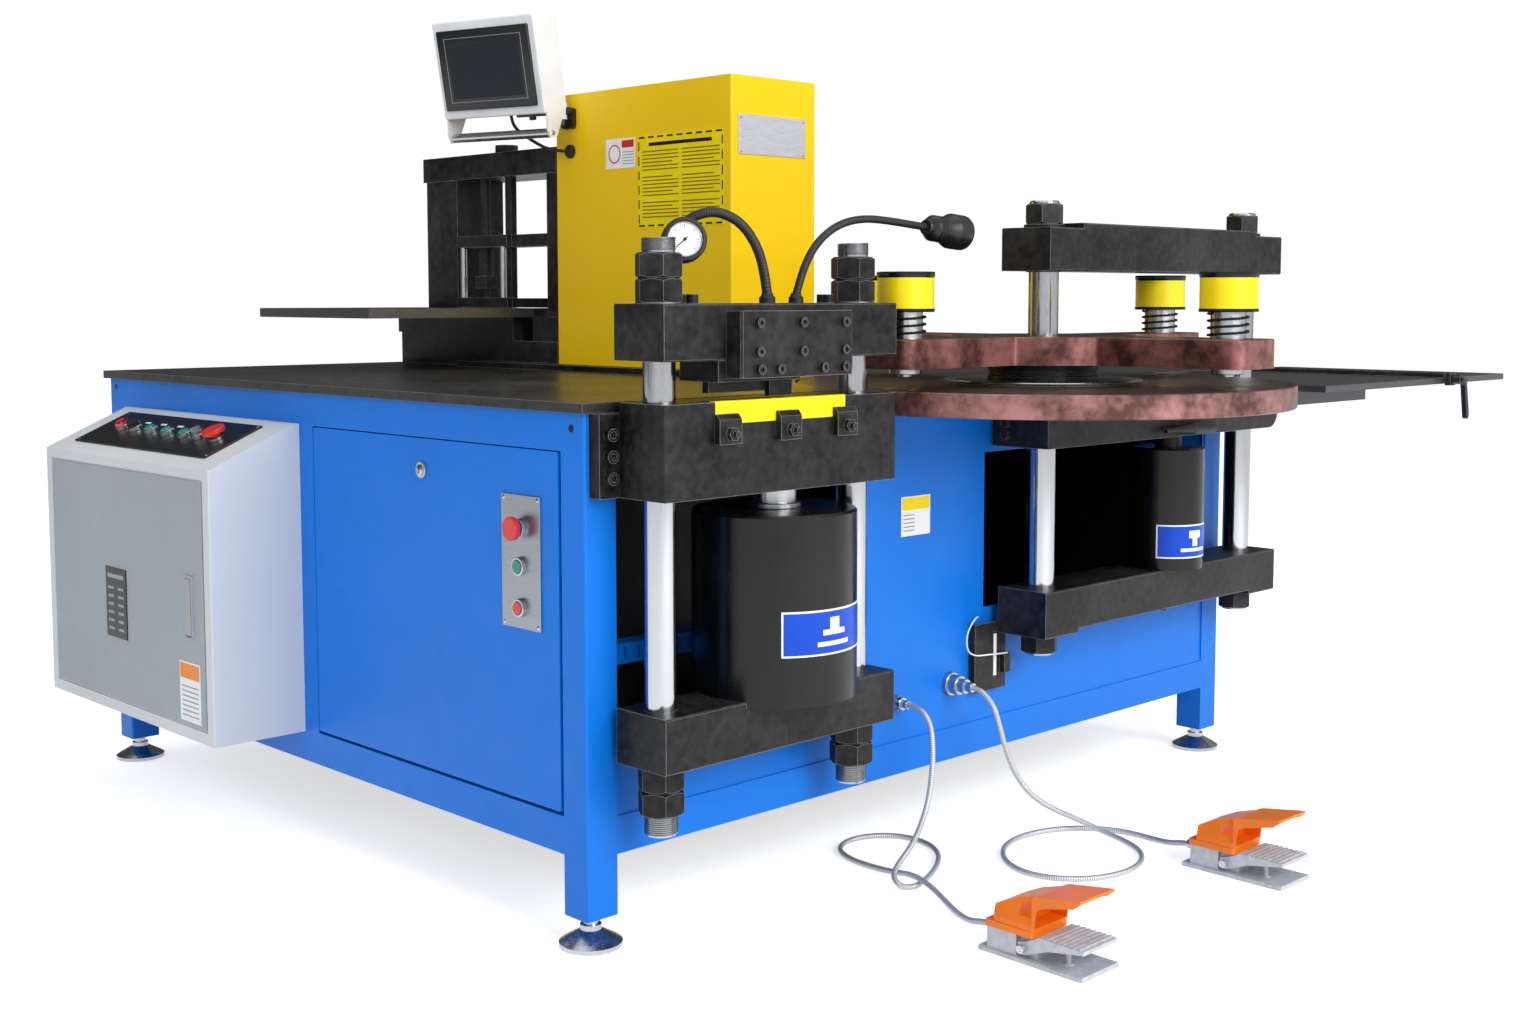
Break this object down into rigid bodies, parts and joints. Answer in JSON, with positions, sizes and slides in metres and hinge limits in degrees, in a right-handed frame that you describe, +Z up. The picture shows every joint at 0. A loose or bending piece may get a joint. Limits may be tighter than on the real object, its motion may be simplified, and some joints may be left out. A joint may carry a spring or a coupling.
{
  "type": "busbar processing machine",
  "caption": "Three-station busbar machine on a blue frame: cutting press, turret punching press and bending unit, with cabinet, operator panel and foot pedals.",
  "frame": {"origin": "on the floor under the middle of the frame", "axes": "+X along the front face to the right, the front with the presses faces -Y, +Z up"},
  "size_m": [2.9335, 2.2619, 1.6097],
  "materials": {
    "blue_paint": "semi-gloss",
    "table_steel": "dark blued",
    "bright_steel": "brushed",
    "black_steel": "satin",
    "yellow_paint": "gloss",
    "polished_steel": "polished",
    "turret_steel": "brown blued",
    "yellow_cap": "gloss",
    "grey_paint": "semi-gloss",
    "door_grey": "satin",
    "green_cap": "gloss",
    "red_cap": "gloss",
    "orange_hood": "gloss",
    "cast_alloy": "as cast",
    "white_plastic": "satin",
    "black_plastic": "satin",
    "conduit": "braided",
    "black_rubber": "matt"
  },
  "bodies": {
    "base": {"frame": "blue_paint", "panels": "blue_paint", "table_plate": "table_steel", "leveling_feet": "bright_steel", "cut_block": "black_steel", "die_strip": "yellow_paint", "block_clamps": "black_steel", "punch_plate": "black_steel", "bend_housing": "yellow_paint", "bend_frame": "black_steel", "bar_shelf": "bright_steel", "hmi_bracket": "black_plastic", "cabinet": "grey_paint", "control_plates": "bright_steel", "support_table": "bright_steel", "front_fittings": "bright_steel", "hydraulic_unit": "black_steel", "pedal_bodies": "cast_alloy", "pedal_hoods": "orange_hood", "foot_cord_1": "conduit", "foot_cord_2": "conduit", "hmi_lead": "black_rubber"},
    "cut_yoke": {"cut_upper_beam": "black_steel", "cut_lower_beam": "black_steel", "cut_columns": "polished_steel", "cut_fasteners": "black_steel", "cut_cylinder": "black_steel", "cut_blade_holder": "black_steel", "gauge_and_lamp": "black_plastic"},
    "punch_yoke": {"punch_upper_beam": "black_steel", "punch_lower_beam": "black_steel", "punch_columns": "polished_steel", "punch_cylinder": "black_steel"},
    "turret": {"turret_disc": "turret_steel", "turret_hub": "black_steel", "turret_star": "turret_steel", "punch_springs": "bright_steel"},
    "head_1": {"punch_head_1": "yellow_cap"},
    "head_2": {"punch_head_2": "yellow_cap"},
    "head_3": {"punch_head_3": "yellow_cap"},
    "head_4": {"punch_head_4": "yellow_cap"},
    "bend_ram": {"bend_ram": "polished_steel"},
    "service_door": {"service_door": "blue_paint"},
    "side_stop": {"side_stop": "red_cap"},
    "side_green": {"side_green": "green_cap"},
    "side_red": {"side_red": "red_cap"},
    "cabinet_door": {"cabinet_door": "door_grey"},
    "cabinet_latch": {"cabinet_latch": "bright_steel"},
    "console_button_1": {"console_button_1": "green_cap"},
    "console_button_2": {"console_button_2": "green_cap"},
    "console_button_3": {"console_button_3": "green_cap"},
    "console_stop": {"console_stop": "red_cap"},
    "console_selector": {"console_selector": "bright_steel"},
    "console_key": {"console_key": "bright_steel"},
    "operator_panel": {"hmi_housing": "white_plastic"},
    "stop_rail": {"stop_rail": "black_steel"},
    "clamp_lever": {"clamp_lever": "black_steel"},
    "treadle_1": {"pedal_treadle_1": "cast_alloy"},
    "treadle_2": {"pedal_treadle_2": "cast_alloy"}
  },
  "joints": [
    {"name": "cut_press", "type": "slide", "parent": "base", "child": "cut_yoke", "axis": [0, 0, -1], "range_m": [0, 0.026]},
    {"name": "punch_press", "type": "slide", "parent": "base", "child": "punch_yoke", "axis": [0, 0, -1], "range_m": [0, 0.028]},
    {"name": "turret_turn", "type": "hinge", "parent": "base", "child": "turret", "pos_m": [0.148, -0.89, 0.85], "axis": [0, 0, 1], "continuous": true},
    {"name": "head_press_1", "type": "slide", "parent": "turret", "child": "head_1", "axis": [0, 0, -1], "range_m": [0, 0.0238], "stiffness_N_per_m": 6000, "springref_m": -0.02},
    {"name": "head_press_2", "type": "slide", "parent": "turret", "child": "head_2", "axis": [0, 0, -1], "range_m": [0, 0.0238], "stiffness_N_per_m": 6000, "springref_m": -0.02},
    {"name": "head_press_3", "type": "slide", "parent": "turret", "child": "head_3", "axis": [0, 0, -1], "range_m": [0, 0.0238], "stiffness_N_per_m": 6000, "springref_m": -0.02},
    {"name": "head_press_4", "type": "slide", "parent": "turret", "child": "head_4", "axis": [0, 0, -1], "range_m": [0, 0.0238], "stiffness_N_per_m": 6000, "springref_m": -0.02},
    {"name": "bend_stroke", "type": "slide", "parent": "base", "child": "bend_ram", "axis": [0, 0, 1], "range_m": [0, 0.022]},
    {"name": "service_door_swing", "type": "hinge", "parent": "base", "child": "service_door", "pos_m": [-0.891, -0.395, 0.214], "axis": [0, -1, 0], "range_deg": [0, 60]},
    {"name": "side_stop_push", "type": "slide", "parent": "service_door", "child": "side_stop", "axis": [1, 0, 0], "range_m": [0, 0.005], "stiffness_N_per_m": 700, "springref_m": -0.003},
    {"name": "side_green_push", "type": "slide", "parent": "service_door", "child": "side_green", "axis": [1, 0, 0], "range_m": [0, 0.003], "stiffness_N_per_m": 700, "springref_m": -0.003},
    {"name": "side_red_push", "type": "slide", "parent": "service_door", "child": "side_red", "axis": [1, 0, 0], "range_m": [0, 0.003], "stiffness_N_per_m": 700, "springref_m": -0.003},
    {"name": "cabinet_door_swing", "type": "hinge", "parent": "base", "child": "cabinet_door", "pos_m": [-1.08, 0.693, 0.4515], "axis": [0, 0, -1], "range_deg": [0, 110]},
    {"name": "latch_lift", "type": "hinge", "parent": "cabinet_door", "child": "cabinet_latch", "pos_m": [-1.0805, 0.101, 0.397], "axis": [0, -1, 0], "range_deg": [0, 30]},
    {"name": "console_button_1_push", "type": "slide", "parent": "base", "child": "console_button_1", "axis": [0.4042, 0, -0.9147], "range_m": [0, 0.003], "stiffness_N_per_m": 700, "springref_m": -0.003},
    {"name": "console_button_2_push", "type": "slide", "parent": "base", "child": "console_button_2", "axis": [0.4042, 0, -0.9147], "range_m": [0, 0.003], "stiffness_N_per_m": 700, "springref_m": -0.003},
    {"name": "console_button_3_push", "type": "slide", "parent": "base", "child": "console_button_3", "axis": [0.4042, 0, -0.9147], "range_m": [0, 0.003], "stiffness_N_per_m": 700, "springref_m": -0.003},
    {"name": "console_stop_push", "type": "slide", "parent": "base", "child": "console_stop", "axis": [0.4042, 0, -0.9147], "range_m": [0, 0.005], "stiffness_N_per_m": 700, "springref_m": -0.003},
    {"name": "console_selector_turn", "type": "hinge", "parent": "base", "child": "console_selector", "pos_m": [-0.99118, 0.5025, 0.75116], "axis": [-0.4042, 0, 0.9147], "range_deg": [-45, 45]},
    {"name": "console_key_turn", "type": "hinge", "parent": "base", "child": "console_key", "pos_m": [-0.99118, 0.2305, 0.75116], "axis": [-0.4042, 0, 0.9147], "range_deg": [-45, 45]},
    {"name": "panel_swivel", "type": "hinge", "parent": "base", "child": "operator_panel", "pos_m": [-0.196, 0.128, 1.387], "axis": [0, 0, 1], "range_deg": [0, 60]},
    {"name": "stop_rail_slide", "type": "slide", "parent": "base", "child": "stop_rail", "axis": [1, 0, 0], "range_m": [-0.5, 0.25]},
    {"name": "clamp_lever_turn", "type": "hinge", "parent": "stop_rail", "child": "clamp_lever", "pos_m": [1.53, -1.07, 0.814], "axis": [0, 1, 0], "range_deg": [-60, 90]},
    {"name": "treadle_1_press", "type": "hinge", "parent": "base", "child": "treadle_1", "pos_m": [-0.404, -1.31, 0.023], "axis": [1, 0, 0], "range_deg": [0, 8], "stiffness_Nm_per_rad": 30, "springref_deg": -3.44},
    {"name": "treadle_2_press", "type": "hinge", "parent": "base", "child": "treadle_2", "pos_m": [0.171, -1.31, 0.023], "axis": [1, 0, 0], "range_deg": [0, 8], "stiffness_Nm_per_rad": 30, "springref_deg": -3.44}
  ],
  "couplings": [
    {"joint": "head_press_1", "follows": "punch_press", "ratio": 0.85}
  ]
}
